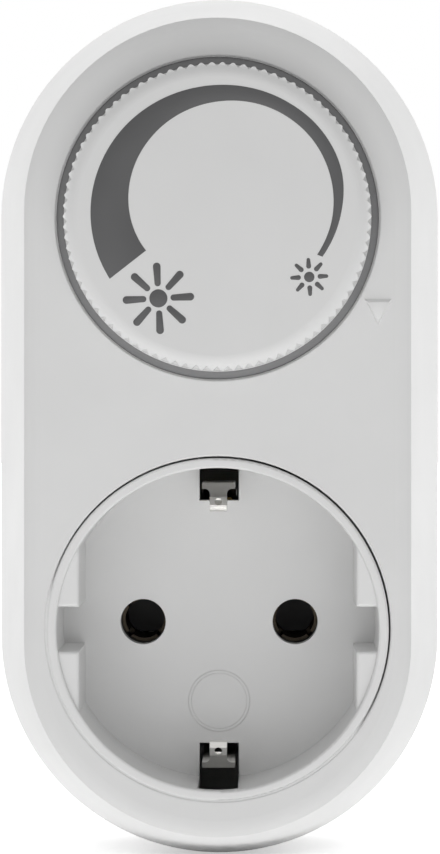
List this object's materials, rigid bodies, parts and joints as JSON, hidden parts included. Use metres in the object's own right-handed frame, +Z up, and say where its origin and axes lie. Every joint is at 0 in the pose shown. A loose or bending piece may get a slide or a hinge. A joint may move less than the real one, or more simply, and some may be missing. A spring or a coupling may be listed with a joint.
{
  "type": "plug in dimmer",
  "caption": "Plug-in dimmer: upright rounded housing with a serrated dial above an earthed round socket, and an earthed two-pin plug on its back.",
  "frame": {"origin": "middle of the plug's pin face, halfway between the two pins", "axes": "+Y along the pins into the wall socket, +Z up the housing towards the dial, +X to the right as the user faces the front"},
  "size_m": [0.055, 0.085, 0.1072],
  "materials": {
    "shell_white": "fine satin moulding",
    "insert_white": "fine satin moulding",
    "dial_white": "fine satin moulding",
    "ring_grey": "satin moulding",
    "nickel": "nickel plate",
    "steel": "bright zinc",
    "brass": "rolled",
    "black_plastic": "moulded",
    "board_green": "lacquered",
    "capacitor_yellow": "moulded",
    "capacitor_red": "dipped",
    "ferrite": "pressed",
    "copper": "lacquered wire",
    "aluminium": "extruded",
    "component_beige": "lacquered",
    "component_blue": "lacquered",
    "fuse_glass": "clear",
    "wire_brown": "insulated",
    "wire_black": "insulated",
    "wire_blue": "insulated"
  },
  "bodies": {
    "housing": {"front_cover": "shell_white", "rear_housing": "shell_white", "socket_insert": "insert_white", "upper_earth_strip": "nickel", "lower_earth_strip": "nickel", "line_pin": "nickel", "neutral_pin": "nickel", "fuse_caps": "nickel", "earth_rivets": "nickel", "housing_screws": "steel", "potentiometer_case": "steel", "line_contact": "brass", "neutral_contact": "brass", "neutral_link": "brass", "earth_link": "brass", "fuse_clips": "brass", "potentiometer_bushing": "brass", "contact_carrier": "black_plastic", "triac": "black_plastic", "circuit_board": "board_green", "suppression_capacitor": "capacitor_yellow", "timing_capacitor": "capacitor_red", "choke_core": "ferrite", "choke_winding": "copper", "heat_sink": "aluminium", "resistors": "component_beige", "diac": "component_blue", "fuse_tube": "fuse_glass", "line_wire": "wire_brown", "load_wire": "wire_black", "neutral_wire": "wire_blue"},
    "dial": {"dial_knob": "dial_white", "dial_carrier": "ring_grey", "dial_clip": "steel", "potentiometer_shaft": "steel"}
  },
  "joints": [
    {"name": "dial_turn", "type": "hinge", "parent": "housing", "child": "dial", "pos_m": [0, -0.06, 0.0497], "axis": [0, 1, 0], "range_deg": [0, 264]}
  ]
}
